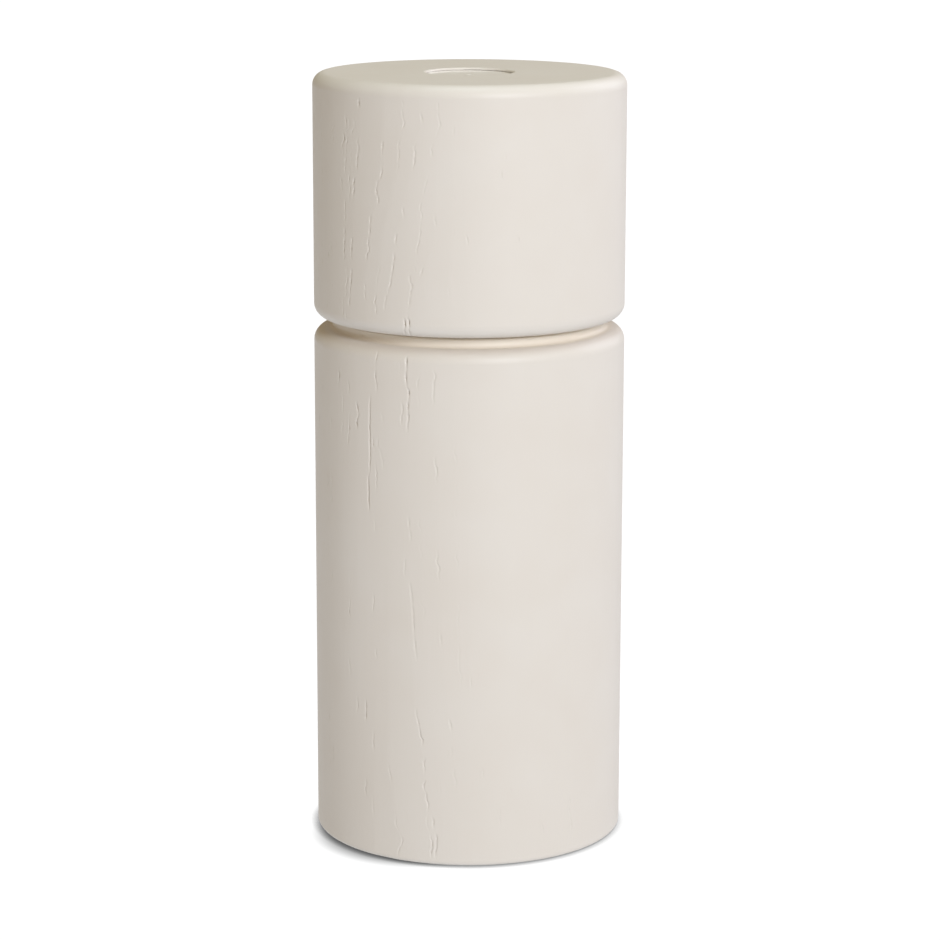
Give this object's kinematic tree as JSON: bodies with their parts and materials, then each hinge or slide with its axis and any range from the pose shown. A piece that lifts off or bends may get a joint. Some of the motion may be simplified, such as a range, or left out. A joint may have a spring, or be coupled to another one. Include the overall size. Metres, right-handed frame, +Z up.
{
  "type": "spice mill",
  "caption": "Twist-top spice mill: a tall plain cylinder of painted open-pored wood with a lift-off turning cap, a conical ceramic burr grinder and a grind dial under the foot.",
  "frame": {"origin": "middle of the foot, on the surface that the mill stands on", "axes": "+Z up the mill's axis; +X towards one of the grinder's screws"},
  "size_m": [0.065, 0.065, 0.161],
  "materials": {
    "painted_wood": "cream paint on open-pored ash, satin",
    "acetal": "moulded, natural",
    "black_nylon": "moulded, fine texture",
    "ceramic": "fired, matt",
    "steel": "zinc-plated or stainless, satin",
    "aluminium": "drawn rod, satin",
    "brass": "turned",
    "silicone": "moulded, matt"
  },
  "bodies": {
    "mill_body": {"body": "painted_wood", "glide_ring": "acetal", "grinder_housing": "black_nylon", "retainer_plate": "steel", "housing_screws": "steel", "stator_burr": "ceramic", "bearing_bush": "acetal", "thrust_washer": "steel"},
    "drive": {"shaft": "aluminium", "shaft_clip": "steel", "grip_ring": "silicone", "grind_spring": "steel", "stop_washer": "steel", "stop_screw": "steel"},
    "top_cap": {"cap": "painted_wood", "drive_socket": "acetal", "socket_screws": "steel"},
    "rotor": {"rotor_burr": "ceramic", "rotor_carrier": "acetal", "click_washer": "steel"},
    "dial": {"adjuster_dial": "black_nylon", "dial_insert": "brass"}
  },
  "joints": [
    {"name": "cap_turn", "type": "hinge", "parent": "mill_body", "child": "drive", "pos_m": [0, 0, 0.1104], "axis": [0, 0, 1], "continuous": true},
    {"name": "cap_lift", "type": "slide", "parent": "drive", "child": "top_cap", "axis": [0, 0, 1], "range_m": [0, 0.06]},
    {"name": "rotor_lift", "type": "slide", "parent": "drive", "child": "rotor", "axis": [0, 0, 1], "range_m": [-0.0008, 0.0008], "deforming": ["grind_spring"]},
    {"name": "dial_turn", "type": "hinge", "parent": "rotor", "child": "dial", "pos_m": [0, 0, 0.0064], "axis": [0, 0, 1], "range_deg": [-360, 360]}
  ],
  "couplings": [
    {"joint": "rotor_lift", "follows": "dial_turn", "m_per_rad": 0.0001273}
  ]
}
